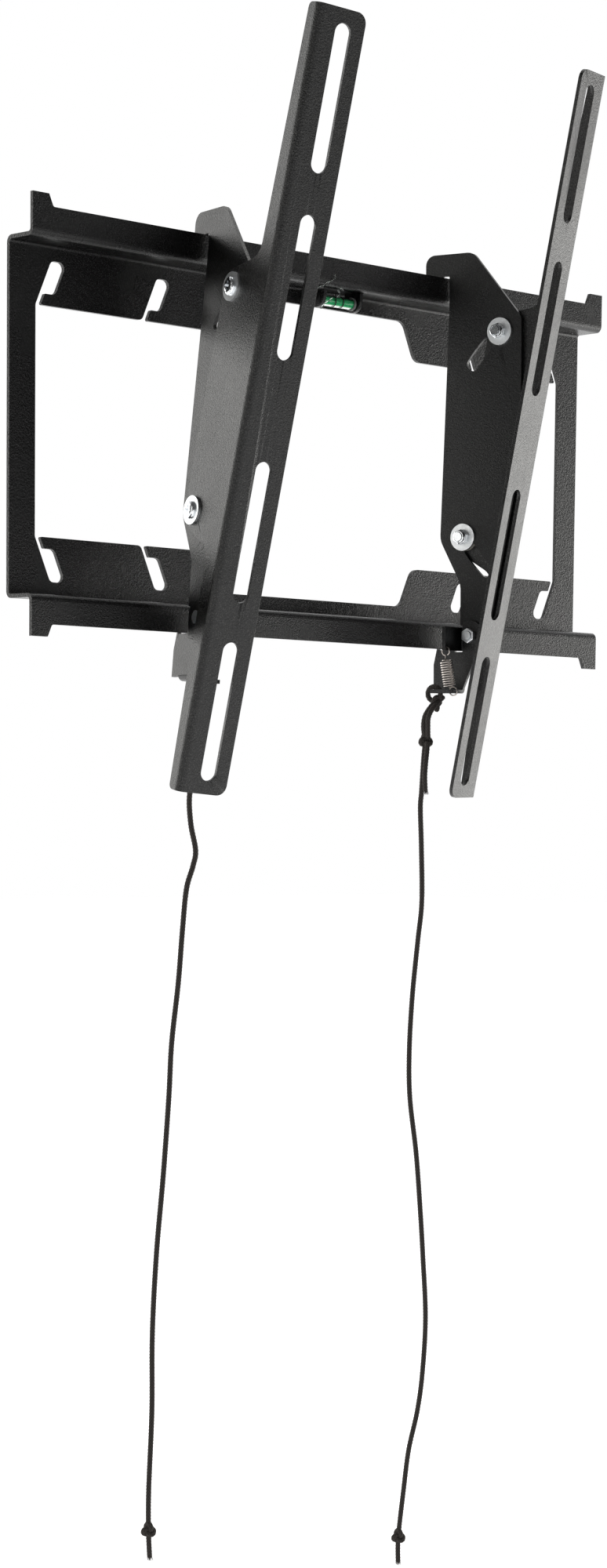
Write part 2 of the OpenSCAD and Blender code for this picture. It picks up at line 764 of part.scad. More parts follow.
module latch_spring() {
  top_ring_z = tab_low_z + spring_ring_r - tab_hole_up;
  low_ring_y = spring_hole_y + spring_ring_r;
  top = [-tab_hole_x, -tab_y - arm_t / 2, -top_ring_z - spring_ring_r - spring_gap_z];
  low = [-spring_hole_x, -spring_hole_y, -foot_z + arm_t + spring_gap_z / 2];
  axis = top - low;
  lean = acos(axis.z / norm(axis));
  way = atan2(axis.y, axis.x);
  color("#b9a58c") {
    translate(low)
      rotate([0, lean, way])
        rotate_extrude($fn = coil_fn)
          polygon(coil_profile(norm(axis)));
    translate([top.x, top.y, -top_ring_z])
      wire_ring(spring_ring_r, wire_d);
    translate(top)
      cylinder(d = stem_share * wire_d, h = spring_gap_z, $fn = wire_fn);
    translate([low.x, -low_ring_y, -foot_z + arm_t / 2])
      wire_ring(spring_ring_r, wire_d);
    translate([low.x, low.y, -foot_z + arm_t / 2])
      cylinder(d = stem_share * wire_d, h = arm_t / 2 + spring_gap_z, $fn = wire_fn);
  }
}

// Loop of cord through the lever's foot and round its back edge, and the knot that closes it
module cord_tie() {
  loop_in_r = tie_r - cord_d / 2;
  loop_z = -foot_z + arm_t - sqrt(loop_in_r * loop_in_r - tie_over * tie_over) + tie_gap;
  mid_rise = -foot_z + arm_t / 2 - loop_z;
  loop_y = -cord_hole_y + sqrt(tie_r * tie_r - mid_rise * mid_rise);
  color("#3a3b3e")
    translate([-cord_hole_x, loop_y, loop_z]) {
      wire_ring(tie_r, cord_d);
      translate([0, -tie_r * sin(tie_turn), -tie_r * cos(tie_turn)])
        sphere(d = knot_d, $fn = wire_fn);
    }
}

module knot(place) {
  color("#3a3b3e")
    translate(place)
      sphere(d = knot_d, $fn = wire_fn);
}

// Round cord along a route, as rings of points joined by faces
module cord(route) {
  pts = smooth(route, cord_steps);
  last = len(pts) - 1;
  rings = [for (i = [0:last])
    let (way = unit(pts[min(i + 1, last)] - pts[max(i - 1, 0)]),
      u = unit(cross(way, [0, 1, 0])), v = cross(u, way))
    for (k = [0:cord_sides - 1])
      pts[i] + (u * cos(360 * k / cord_sides) + v * sin(360 * k / cord_sides)) * cord_d / 2];
  faces = concat(
    [[for (k = [0:cord_sides - 1]) k]],
    [for (i = [0:last - 1]) for (k = [0:cord_sides - 1])
      let (n = (k + 1) % cord_sides, a = i * cord_sides, b = a + cord_sides)
      each [[a + n, a + k, b + k], [a + n, b + k, b + n]]],
    [[for (k = [cord_sides - 1:-1:0]) last * cord_sides + k]]);
  color("#3a3b3e")
    polyhedron(points = rings, faces = faces, convexity = 4);
}

wall_plate();
level_vial();
level_liquid();
on_left() hook_plate();  // left_hook_plate
on_left() tilt_arm();  // left_tilt_arm
on_left() at_bolt(1) tilt_bolt();  // left_upper_bolt
on_left() at_bolt(1) outer_washer();  // left_upper_washer
on_left() at_bolt(1) slide_bush();  // left_upper_bush
on_left() at_bolt(1) backing_washer();  // left_upper_backing
on_left() at_bolt(1) lock_nut();  // left_upper_nut
on_left() at_bolt(-1) tilt_bolt();  // left_lower_bolt
on_left() at_bolt(-1) outer_washer();  // left_lower_washer
on_left() at_bolt(-1) slide_bush();  // left_lower_bush
on_left() at_bolt(-1) backing_washer();  // left_lower_backing
on_left() at_bolt(-1) lock_nut();  // left_lower_nut
on_left() latch_stud();  // left_latch_stud
on_left() latch_nut();  // left_latch_nut
on_left() latch_lever();  // left_latch_lever
on_left() latch_spring();  // left_latch_spring
on_left() cord_tie();  // left_cord_tie
cord(LEFT_ROUTE);  // left_pull_cord
knot(LEFT_END);  // left_end_knot
on_right() hook_plate();  // right_hook_plate
on_right() tilt_arm();  // right_tilt_arm
on_right() at_bolt(1) tilt_bolt();  // right_upper_bolt
on_right() at_bolt(1) outer_washer();  // right_upper_washer
on_right() at_bolt(1) slide_bush();  // right_upper_bush
on_right() at_bolt(1) backing_washer();  // right_upper_backing
on_right() at_bolt(1) lock_nut();  // right_upper_nut
on_right() at_bolt(-1) tilt_bolt();  // right_lower_bolt
on_right() at_bolt(-1) outer_washer();  // right_lower_washer
on_right() at_bolt(-1) slide_bush();  // right_lower_bush
on_right() at_bolt(-1) backing_washer();  // right_lower_backing
on_right() at_bolt(-1) lock_nut();  // right_lower_nut
on_right() latch_stud();  // right_latch_stud
on_right() latch_nut();  // right_latch_nut
on_right() latch_lever();  // right_latch_lever
on_right() latch_spring();  // right_latch_spring
on_right() cord_tie();  // right_cord_tie
knot(RIGHT_KNOT);  // right_middle_knot
cord(RIGHT_ROUTE);  // right_pull_cord
knot(RIGHT_END);  // right_end_knot
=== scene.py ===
# %% [markdown]
# # A tilting wall bracket for a screen
# A folded plate is screwed to the wall. Two arms carry the screen: each hangs by a hook plate on
# the plate's rails, slides along them, tilts in curved slots and is locked by a sprung lever with
# a pull cord. The solids come from the CAD model, so this lesson is about finish: powder coat,
# zinc, spring wire, braided cord and the light that makes black metal readable.

# %% Load the bracket's frame
import json
from math import cos, pi, sin

import bmesh
import bpy
from mathutils import Matrix, Vector


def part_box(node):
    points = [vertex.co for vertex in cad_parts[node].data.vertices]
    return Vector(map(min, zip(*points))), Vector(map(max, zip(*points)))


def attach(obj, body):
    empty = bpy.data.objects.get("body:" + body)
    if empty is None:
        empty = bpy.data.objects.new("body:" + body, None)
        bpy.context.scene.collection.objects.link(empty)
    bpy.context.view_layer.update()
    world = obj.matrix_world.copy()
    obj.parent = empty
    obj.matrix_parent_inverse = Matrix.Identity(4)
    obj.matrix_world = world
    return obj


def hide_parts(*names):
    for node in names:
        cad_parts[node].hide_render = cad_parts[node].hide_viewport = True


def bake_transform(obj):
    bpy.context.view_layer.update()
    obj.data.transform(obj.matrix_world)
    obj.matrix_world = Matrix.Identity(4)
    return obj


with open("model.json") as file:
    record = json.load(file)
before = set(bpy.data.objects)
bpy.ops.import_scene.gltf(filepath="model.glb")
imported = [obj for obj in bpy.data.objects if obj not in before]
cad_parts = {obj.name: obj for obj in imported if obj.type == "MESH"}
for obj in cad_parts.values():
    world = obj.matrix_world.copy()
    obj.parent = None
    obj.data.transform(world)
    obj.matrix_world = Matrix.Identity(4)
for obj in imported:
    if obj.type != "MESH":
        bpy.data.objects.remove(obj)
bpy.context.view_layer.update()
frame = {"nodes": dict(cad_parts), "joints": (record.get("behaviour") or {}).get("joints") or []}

# %% [markdown]
# ## Camera
# The photograph looks from below left and keeps upright lines almost parallel, as a long lens
# does. Three directions and a place say where such a camera stands. The picture is cut from the
# upper part of the lens's view, which is what the shift gives: turning the camera up instead
# would make the uprights lean together.

# %% Stand the camera
CAMERA_PLACE = Vector((-1.30004, -1.36062, -0.20663))
CAMERA_RIGHT = Vector((0.710056, -0.704042, 0.012017))
CAMERA_UP = Vector((0.051097, 0.068540, 0.996339))
CAMERA_BACK = Vector((-0.702288, -0.706843, 0.084642))

lens = bpy.data.cameras.new("long_lens")
lens.lens = 72.71
lens.shift_x = -0.04185
lens.shift_y = 0.18745
lens.clip_start = 0.05
camera = bpy.data.objects.new("camera", lens)
bpy.context.scene.collection.objects.link(camera)
turn = Matrix((CAMERA_RIGHT, CAMERA_UP, CAMERA_BACK)).transposed().to_4x4()
camera.matrix_world = Matrix.Translation(CAMERA_PLACE) @ turn
bpy.context.scene.camera = camera
print("camera is", round(CAMERA_PLACE.length, 2), "m from the middle of the plate")

# %% [markdown]
# ## Round stock along a line
# Cords, spring wire and threads of glue are all round stock that follows a line. A curve object
# with a round bevel would do, but it gives no say over the surface. Here a flat grid is rolled
# up round the line instead: one direction of the grid runs round the stock and the other along
# it, so the same two numbers also place the braid and fill the UV map. The cross direction is
# carried from each point to the next, which keeps the tube from twisting at a bend.

# %% Smooth lines with even steps
MM = 0.001


def millimetres(points):
    return [Vector(p) * MM for p in points]


def smooth_line(points, per_span=24):
    last = len(points) - 1
    line = []
    for i in range(last):
        a, b, c, d = (points[min(max(k, 0), last)] for k in (i - 1, i, i + 1, i + 2))
        for k in range(per_span):
            t = k / per_span
            line.append(0.5 * (2 * b + (c - a) * t + (2 * a - 5 * b + 4 * c - d) * t * t
                               + (3 * b - a - 3 * c + d) * t ** 3))
    return line + [points[-1].copy()]


def line_length(line):
    return sum((b - a).length for a, b in zip(line, line[1:]))


def even_steps(line, step):
    count = max(2, round(line_length(line) / step))
    goal = line_length(line) / count
    out, walked, target = [line[0].copy()], 0.0, goal
    for a, b in zip(line, line[1:]):
        span = (b - a).length
        while span > 0 and walked + span >= target - 1e-9 and len(out) < count:
            out.append(a.lerp(b, (target - walked) / span))
            target += goal
        walked += span
    return out + [line[-1].copy()]


# %% Roll a grid into a tube
def cross_directions(line, closed):
    ways = [(line[min(i + 1, len(line) - 1)] - line[max(i - 1, 0)]).normalized()
            for i in range(len(line))]
    if closed:
        ways[0] = ways[-1] = (line[1] - line[-2]).normalized()
    sides = [ways[0].orthogonal().normalized()]
    for a, b in zip(ways, ways[1:]):
        sides.append((a.rotation_difference(b) @ sides[-1]).normalized())
    if closed:
        miss = sides[-1].angle(sides[0])
        if sides[-1].cross(sides[0]).dot(ways[0]) < 0:
            miss = -miss
        sides = [Matrix.Rotation(miss * i / (len(line) - 1), 3, ways[i]) @ s
                 for i, s in enumerate(sides)]
    return ways, sides


def tube(name, line, radius, around, relief=None, closed=False, strands=1, pitch=1.0):
    ways, sides = cross_directions(line, closed)
    walked = [0.0]
    for a, b in zip(line, line[1:]):
        walked.append(walked[-1] + (b - a).length)
    mesh = bmesh.new()
    mesh.loops.layers.uv.new("UVMap")
    bmesh.ops.create_grid(mesh, x_segments=around, y_segments=len(line) - 1, size=0.5, calc_uvs=True)
    uv = mesh.loops.layers.uv["UVMap"]
    rings = {}
    for v in mesh.verts:
        ring = round((v.co.y + 0.5) * (len(line) - 1))
        part = v.co.x + 0.5
        rings[v.index] = (part, ring)
        raised = relief(part, walked[ring]) if relief else 0.0
        out = sides[ring] * cos(2 * pi * part) + ways[ring].cross(sides[ring]) * sin(2 * pi * part)
        size = radius(ring / (len(line) - 1)) if callable(radius) else radius
        v.co = line[ring] + out * (size + raised)
    for face in mesh.faces:
        for loop in face.loops:
            part, ring = rings[loop.vert.index]
            loop[uv].uv = (part * strands, walked[ring] / pitch)
        face.smooth = True
    bmesh.ops.remove_doubles(mesh, verts=mesh.verts, dist=1e-6)
    bmesh.ops.holes_fill(mesh, edges=[e for e in mesh.edges if e.is_boundary], sides=0)
    bmesh.ops.recalc_face_normals(mesh, faces=mesh.faces)
    return finished(name, mesh)


def finished(name, mesh, smooth=True):
    data = bpy.data.meshes.new(name)
    for face in mesh.faces:
        face.smooth = smooth
    mesh.to_mesh(data)
    mesh.free()
    piece = bpy.data.objects.new(name, data)
    bpy.context.scene.collection.objects.link(piece)
    print(name, len(data.polygons), "faces")
    return piece


# %% [markdown]
# ## Pull cords
# Each cord is a black braid 3 mm thick that hangs from a loop through the lever's foot and ends
# in an overhand knot with a short tail. A braid shows a lattice of small humps where one strand
# passes over another: the product of a wave round the cord and a wave along it gives that
# lattice as real relief, and the same numbers go into the UV map, so that the fine fibres of
# the finish sit on the same strands.

# %% Say how the cords run
CORD_D = 3.0 * MM
STRANDS = 6
BRAID_PITCH = 1.9 * MM
BRAID_RELIEF = 0.13 * MM
CORD_AROUND = 24
CORD_STEP = 0.5 * MM

CORD_ROUTES = {
    "left": millimetres([
        (-107, -25, -142), (-108, -24, -165), (-110, -22, -185), (-113, -20, -200),
        (-112, -20, -216), (-110, -22, -231), (-111, -21, -240), (-114, -19, -253),
        (-115, -17, -276), (-117, -16, -306), (-119, -13, -340), (-120, -12, -371),
        (-122, -10, -415), (-125, -8, -460), (-126, -6, -506), (-126, -6, -551),
        (-128, -6, -596), (-128, -6, -620), (-127, -6, -636)]),
    "right": millimetres([
        (78, -27.5, -141), (74, -26.5, -145), (71, -25, -150), (70.5, -24, -155),
        (71.3, -23.5, -160), (73.5, -23, -165), (72.5, -23, -171), (71.7, -23, -179),
        (71, -22.5, -196), (70.7, -22, -206), (72, -22, -229), (73, -22, -262),
        (71, -21, -286), (69, -19, -319), (68, -18, -352), (69, -18, -381),
        (72, -21, -415), (74, -23, -448), (75, -25, -478), (77, -26, -516),
        (76, -25, -550), (74, -23, -574), (70, -20, -598), (68, -18, -623),
        (66, -16, -652), (66, -16, -668)]),
}
KNOT_PLACES = {
    "left_end_knot": Vector((-128, -6, -620)) * MM,
    "right_end_knot": Vector((66, -16, -652)) * MM,
    "right_middle_knot": Vector((73.5, -23, -165)) * MM,
}


def braid(part, walked):
    return BRAID_RELIEF * cos(2 * pi * STRANDS * part) * cos(2 * pi * walked / BRAID_PITCH)


def braided(name, line, closed=False):
    return tube(name, even_steps(line, CORD_STEP), CORD_D / 2, CORD_AROUND,
                relief=braid, closed=closed, strands=STRANDS, pitch=BRAID_PITCH)


# %% Make the two cords
cords = {}
cord_lines = {}
for side, route in CORD_ROUTES.items():
    cord_lines[side] = smooth_line(route)
    cords[side] = braided(f"{side}_braided_cord", cord_lines[side])
    print(side, "cord is", round(line_length(cord_lines[side]), 3), "m long")

# %% [markdown]
# An overhand knot pulled tight looks like three lobes of cord wound into each other. The line
# known as a trefoil passes over and under itself three times in just that way, so a short braid
# is led along it, with the flat of the knot across the cord's way.

# %% Tie the overhand knots
KNOT_LOBE = 1.07 * MM


def trefoil(middle, across, along, depth, lobe=KNOT_LOBE, tall=1.12, turns=96):
    line = []
    for k in range(turns + 1):
        t = 2 * pi * k / turns
        line.append(middle + across * lobe * (sin(t) + 2 * sin(2 * t))
                    + along * lobe * tall * (cos(t) - 2 * cos(2 * t))
                    + depth * lobe * 1.05 * -sin(3 * t))
    line[-1] = line[0].copy()
    return line


DOWN = Vector((0, 0, -1))
ACROSS = Vector((CAMERA_RIGHT.x, CAMERA_RIGHT.y, 0)).normalized()
DEPTH = DOWN.cross(ACROSS)
knots = {}
for place_name, place in KNOT_PLACES.items():
    knots[place_name] = braided(place_name + "_tied", trefoil(place, ACROSS, DOWN, DEPTH), closed=True)

# %% [markdown]
# The lever's foot has a hole. The cord goes through it and round the foot's back edge, and a
# tall knot closes the loop. On the right side the cord was tied with spare length: a second
# strand runs beside the first down to the middle knot and ends there in a cut tail.

# %% Find the frame of each side
ORIGIN_FROM_PIVOT = Vector((0, 38.5, 102)) * MM
joints = {j["name"]: j for j in frame["joints"]}


def side_axes(side):
    sign = 1 if side == "right" else -1
    out = Vector(joints[f"{side}_latch"]["axis"]).normalized()
    out *= sign if out.x > 0 else -sign
    back = Vector((-out.y, out.x, 0)).normalized() * sign
    return out, back, out.cross(back) * sign


def at_side(side, x, y, z):
    out, back, up = side_axes(side)
    pivot = Vector(joints[f"{side}_latch"]["pos_m"])
    spot = Vector((x, y, z)) * MM + ORIGIN_FROM_PIVOT
    return pivot + out * spot.x + back * spot.y + up * spot.z


# %% Loop the cords through the levers' feet
LOOP_MIDDLE = (-21.0, -21.72, -136.77)
LOOP_RADIUS = 4.3 * MM
LOOP_STEPS = 72
TIE_TURN = 25 * pi / 180
TIE_LOBE = 0.85 * MM
TIE_TALL = 1.7
TIE_DROP = 1.2 * MM

ties = {}
for side in ("left", "right"):
    out, back, up = side_axes(side)
    middle = at_side(side, *LOOP_MIDDLE)
    ring = [middle + (back * cos(2 * pi * k / LOOP_STEPS) + up * sin(2 * pi * k / LOOP_STEPS)) * LOOP_RADIUS
            for k in range(LOOP_STEPS + 1)]
    loop = braided(f"{side}_cord_loop", ring, closed=True)
    knot_at = middle - (back * sin(TIE_TURN) + up * cos(TIE_TURN)) * LOOP_RADIUS
    blob = braided(f"{side}_tie_knot",
                   trefoil(knot_at - up * TIE_DROP, out, up, back, TIE_LOBE, TIE_TALL), closed=True)
    ties[side] = [loop, blob]

# %% Add the right cord's second strand and tail
SECOND_STRAND = millimetres([
    (82.4, -28.4, -139), (76.2, -29, -143.3), (72.5, -28.4, -147.2), (70.9, -27.4, -151.9),
    (71.5, -26.6, -157.5), (72.6, -25.7, -163.1)])
CUT_TAIL = millimetres([
    (72.6, -25.4, -165.9), (72, -25.6, -171.5), (70.7, -26, -178.1), (70.1, -25.9, -186.6),
    (71.1, -25.5, -195.5)])
second_strand = braided("right_second_strand", smooth_line(SECOND_STRAND))
cut_tail = braided("right_cut_tail", smooth_line(CUT_TAIL))
print("second strand", round(line_length(smooth_line(SECOND_STRAND)), 4), "m, tail",
      round(line_length(smooth_line(CUT_TAIL)), 4), "m")

# %% [markdown]
# A cut braid frays. A few dozen stiff hairs, each a thin cone that starts inside the cord and
# leans outward, give that end without simulating fibres. The lean grows by the golden angle, so
# that no two hairs line up.

# %% Fray the cut ends
HAIR_R = 0.16 * MM
HAIR_L = 3.0 * MM
HAIRS = 26
HAIR_SPREAD = 0.55
HAIR_TRIM = 0.35
HAIR_RING = 0.4
HAIR_ROOT = 0.6 * MM
GOLDEN = 2.39996


def frayed(name, end, way):
    mesh = bmesh.new()
    side = way.orthogonal().normalized()
    for k in range(HAIRS):
        spread = (k + 0.5) / HAIRS
        out = Matrix.Rotation(GOLDEN * k, 3, way) @ side
        lean = (way + out * HAIR_SPREAD * spread).normalized()
        length = HAIR_L * (1 - HAIR_TRIM * ((k * 7) % 5) / 4)
        start = end + out * CORD_D * HAIR_RING * spread ** 0.5 - way * HAIR_ROOT
        place = Matrix.Translation(start + lean * length / 2)
        turned = Vector((0, 0, 1)).rotation_difference(lean).to_matrix().to_4x4()
        bmesh.ops.create_cone(mesh, cap_ends=True, segments=5, radius1=HAIR_R, radius2=HAIR_R * 0.4,
                              depth=length, matrix=place @ turned)
    return finished(name, mesh)


frays = {
    "left": frayed("left_frayed_end", CORD_ROUTES["left"][-1], DOWN),
    "right": frayed("right_frayed_end", CORD_ROUTES["right"][-1], DOWN),
    "tail": frayed("tail_frayed_end", CUT_TAIL[-1], DOWN),
}

for side, cord in cords.items():
    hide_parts(f"{side}_pull_cord")
    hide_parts(f"{side}_cord_tie")
    for piece in [cord, *ties[side], frays[side]]:
        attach(piece, f"{side}_lever")
for name, knot in knots.items():
    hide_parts(name)
    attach(knot, name.split("_")[0] + "_lever")
for piece in (second_strand, cut_tail, frays["tail"]):
    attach(piece, "right_lever")

# %% [markdown]
# ## Latch springs
# Each lever is pulled shut by an extension spring: one wire that makes a hook, a straight stem,
# twelve turns, a stem and a second hook. Leading one round tube along that whole
# line gives the spring as it is wound, with light in its grooves.

# %% Wind the two springs
WIRE_R = 0.42 * MM
SPRING_R = 3.35 * MM
SPRING_TURNS = 12
WIRE_AROUND = 10
TURN_STEPS = 24
GROW_STEPS = 12
HOOK_SHARE = 0.93
HOOK_STEPS = 28
SPRING_TOP = (-22.2, -30.3, -116.4)
SPRING_FOOT = (-20.0, -31.8, -133.1)
HOOK_R = 2.5 * MM
TAB_RING = (-22.2, -30.3, -111.5)
FOOT_RING = (-20.0, -34.3, -135.4)


def spring_line(side):
    out, back, up = side_axes(side)
    top, foot = at_side(side, *SPRING_TOP), at_side(side, *SPRING_FOOT)
    ring, low_ring = at_side(side, *TAB_RING), at_side(side, *FOOT_RING)
    way = (foot - top).normalized()
    first = way.orthogonal().normalized()
    second = way.cross(first)
    line = [ring + (back * sin(a) - up * cos(a)) * HOOK_R for a in
            (2 * pi * (HOOK_SHARE - HOOK_SHARE * k / HOOK_STEPS) for k in range(HOOK_STEPS + 1))]
    steps = SPRING_TURNS * TURN_STEPS
    height = (foot - top).length
    for k in range(steps + 1):
        a = 2 * pi * k / TURN_STEPS
        grown = min(1, k / GROW_STEPS, (steps - k) / GROW_STEPS)
        line.append(top + way * height * k / steps + (first * cos(a) + second * sin(a)) * SPRING_R * grown)
    line += [low_ring + (back * cos(a) + up * sin(a)) * HOOK_R for a in
             (2 * pi * HOOK_SHARE * k / HOOK_STEPS for k in range(HOOK_STEPS + 1))]
    return line


springs = {}
for side in ("left", "right"):
    spring = tube(f"{side}_wound_spring", spring_line(side), WIRE_R, WIRE_AROUND)
    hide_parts(f"{side}_latch_spring")
    tuple(at_side(side, *SPRING_TOP))
    tuple(at_side(side, *SPRING_FOOT))
    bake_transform(spring)
    springs[side] = spring

# %% [markdown]
# The lever's floor comes close under the hook plate's spring tab, which leaves only a slit of
# light between them. Two strips along the floor, in the plane of the lever's sheet, close the
# rest: a low one under the tab, and behind it a higher one that ends just below the rail's lip.

# %% Fill the levers' floors
FLOOR_STRIPS = (((-6.3, -30.8, -112.6), (2.1, 5.2, 2.0)), ((-6.3, -22.85, -112.15), (2.1, 10.7, 3.7)))

floor_strips = {}
for side in ("left", "right"):
    mesh = bmesh.new()
    turned = Matrix(side_axes(side)).transposed().to_4x4()
    for strip_at, strip_size in FLOOR_STRIPS:
        place = Matrix.Translation(at_side(side, *strip_at)) @ turned
        bmesh.ops.create_cube(mesh, size=MM, matrix=place @ Matrix.Diagonal((*strip_size, 1)))
    bmesh.ops.recalc_face_normals(mesh, faces=mesh.faces)
    strip = finished(f"{side}_lever_floor", mesh, smooth=False)
    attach(strip, f"{side}_lever")
    floor_strips[side] = strip

# %% [markdown]
# ## Spirit level
# A green vial sits in the holes of two small ears under the top rail. Its bubble, two black
# marks, a grey band at one end and stray threads of glue are what one sees of it in the gap.
# The grey band is painted light: it stands for the clear wall at the vial's end catching light.

# %% Fill in the level
low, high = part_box("level_vial")
vial_middle = (low + high) / 2
vial_half = (high.x - low.x) / 2
vial_r = (high.z - low.z) / 2


def band(name, x, radius, wide, thick):
    mesh = bmesh.new()
    turned = Matrix.Translation((x, vial_middle.y, vial_middle.z + radius + thick / 2))
    bmesh.ops.create_grid(mesh, x_segments=1, y_segments=1, size=0.5,
                          matrix=turned @ Matrix.Rotation(pi / 2, 4, "X")
                          @ Matrix.Diagonal((wide, thick, 1, 1)))
    bmesh.ops.spin(mesh, geom=mesh.faces[:], cent=(x, vial_middle.y, vial_middle.z), axis=(1, 0, 0),
                   angle=2 * pi, steps=40, use_merge=True)
    bmesh.ops.remove_doubles(mesh, verts=mesh.verts, dist=1e-6)
    bmesh.ops.recalc_face_normals(mesh, faces=mesh.faces)
    return finished(name, mesh, smooth=False)


MARK_GAP = 6.2 * MM
MARK_W = 0.7 * MM
MARK_T = 0.12 * MM
LIT_RING_IN = 3.4 * MM
LIT_RING_W = 1.4 * MM
LIT_RING_T = 0.55 * MM
BUBBLE_AT = Vector((-2.4, 0, 1.35)) * MM
BUBBLE_R = (4.4 * MM, 1.0 * MM, 0.75 * MM)

marks = [band(f"level_mark_{k + 1}", vial_middle.x + (k - 0.5) * MARK_GAP, vial_r, MARK_W, MARK_T)
         for k in range(2)]
# Painted light: a grey band round the vial stands for its clear end wall catching light.
lit_ring = band("level_lit_ring", vial_middle.x + vial_half - LIT_RING_IN, vial_r, LIT_RING_W, LIT_RING_T)

mesh = bmesh.new()
bubble_place = Matrix.Translation(vial_middle + BUBBLE_AT)
bmesh.ops.create_uvsphere(mesh, u_segments=28, v_segments=16, radius=1.0,
                          matrix=bubble_place @ Matrix.Diagonal((*BUBBLE_R, 1)))
bubble = finished("level_bubble", mesh)

# %% [markdown]
# Seen from below, the shelf over the vial is unbroken and the ears are plain. A sheet closes the
# opening in the shelf, and a thin disc covers each hole in the ears.

# %% Close the shelf and the ears
SEAT_LOW = Vector((-10.0, -18.1, 93.9)) * MM
SEAT_HIGH = Vector((20.0, -5.3, 95.9)) * MM
CAP_R = 3.6 * MM
CAP_T = 0.5 * MM

mesh = bmesh.new()
seat_size = SEAT_HIGH - SEAT_LOW
bmesh.ops.create_cube(mesh, size=1.0, matrix=Matrix.Translation((SEAT_LOW + SEAT_HIGH) / 2)
                      @ Matrix.Diagonal((*seat_size, 1)))
seat = finished("level_seat", mesh, smooth=False)
caps = []
for k, x in enumerate((low.x, high.x)):
    mesh = bmesh.new()
    cap_place = Matrix.Translation((x, vial_middle.y, vial_middle.z)) @ Matrix.Rotation(pi / 2, 4, "Y")
    bmesh.ops.create_cone(mesh, cap_ends=True, segments=48, radius1=CAP_R, radius2=CAP_R, depth=CAP_T,
                          matrix=cap_place)
    caps.append(finished(f"level_ear_cap_{k + 1}", mesh, smooth=False))

# %% Stray threads of glue
GLUE_THREADS = (
    ((-20.7, -22.6, 91.2), (-17.6, -22.6, 92.1), (-15.1, -22.6, 93.0), (-13.2, -22.6, 94.6),
     (-10.7, -22.6, 95.6), (-8.2, -22.6, 97.0), (-6.1, -22.6, 98.8), (-6.4, -22.6, 100.5)),
    ((2.7, -20.5, 92.3), (1.5, -20.5, 93.6), (-0.8, -20.5, 93.4), (-1.4, -20.5, 92.0),
     (0.2, -20.5, 90.9), (-0.7, -20.5, 89.2), (-2.3, -20.5, 88.3)),
    ((-6.0, -20.5, 87.4), (-9.8, -20.5, 85.0), (-12.9, -20.5, 83.1), (-15.4, -20.5, 80.3)),
)
THREAD_R = 0.26 * MM
THREAD_SWELL = 0.16 * MM
THREAD_WAVES = 9
THREAD_AROUND = 8
THREAD_STEP = 0.5 * MM

threads = [tube(f"glue_thread_{k + 1}", even_steps(smooth_line(millimetres(t), 8), THREAD_STEP),
                lambda part: THREAD_R + THREAD_SWELL * sin(THREAD_WAVES * part) ** 2, THREAD_AROUND)
           for k, t in enumerate(GLUE_THREADS)]
for pieces, slot_name in (([*marks, seat, *caps], "plate_paint"),
                          ([lit_ring, bubble, *threads], "clear_plastic")):
    for piece in pieces:
        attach(piece, "rails")

# %% [markdown]
# ## Finishes
# Every finish is a Principled shader fed by small node groups. A group holds one effect, such as
# the grain of powder coat, with named inputs for its size and strength, so the same effect gives
# each material its own values. The cord's group reads the UV map. The others read Object
# coordinates in metres, and so a scale of 1100 makes features of about 0.9 mm.


# %% A helper for node groups
def new_group(name, inputs, outputs):
    group = bpy.data.node_groups.new(name, "ShaderNodeTree")
    for socket, kind, value in inputs:
        made = group.interface.new_socket(name=socket, in_out="INPUT", socket_type=kind)
        if value is not None:
            made.default_value = value
    for socket, kind in outputs:
        group.interface.new_socket(name=socket, in_out="OUTPUT", socket_type=kind)
    return group, group.nodes.new("NodeGroupInput"), group.nodes.new("NodeGroupOutput")


def math_node(tree, operation, a, b=None, clamp=False):
    node = tree.nodes.new("ShaderNodeMath")
    node.operation = operation
    node.use_clamp = clamp
    for socket, value in zip(node.inputs, (a, b)):
        if value is None:
            continue
        if isinstance(value, (int, float)):
            socket.default_value = value
        else:
            tree.links.new(value, socket)
    return node.outputs[0]


def noise_node(tree, vector, scale, detail=2.0, rough=0.5):
    node = tree.nodes.new("ShaderNodeTexNoise")
    node.inputs["Detail"].default_value = detail
    node.inputs["Roughness"].default_value = rough
    tree.links.new(vector, node.inputs["Vector"])
    if isinstance(scale, (int, float)):
        node.inputs["Scale"].default_value = scale
    else:
        tree.links.new(scale, node.inputs["Scale"])
    return node.outputs["Fac"]


def range_node(tree, value, low_in, high_in, low_out, high_out):
    node = tree.nodes.new("ShaderNodeMapRange")
    tree.links.new(value, node.inputs["Value"])
    for socket, number in (("From Min", low_in), ("From Max", high_in), ("To Min", low_out),
                           ("To Max", high_out)):
        if isinstance(number, (int, float)):
            node.inputs[socket].default_value = number
        else:
            tree.links.new(number, node.inputs[socket])
    return node.outputs["Result"]
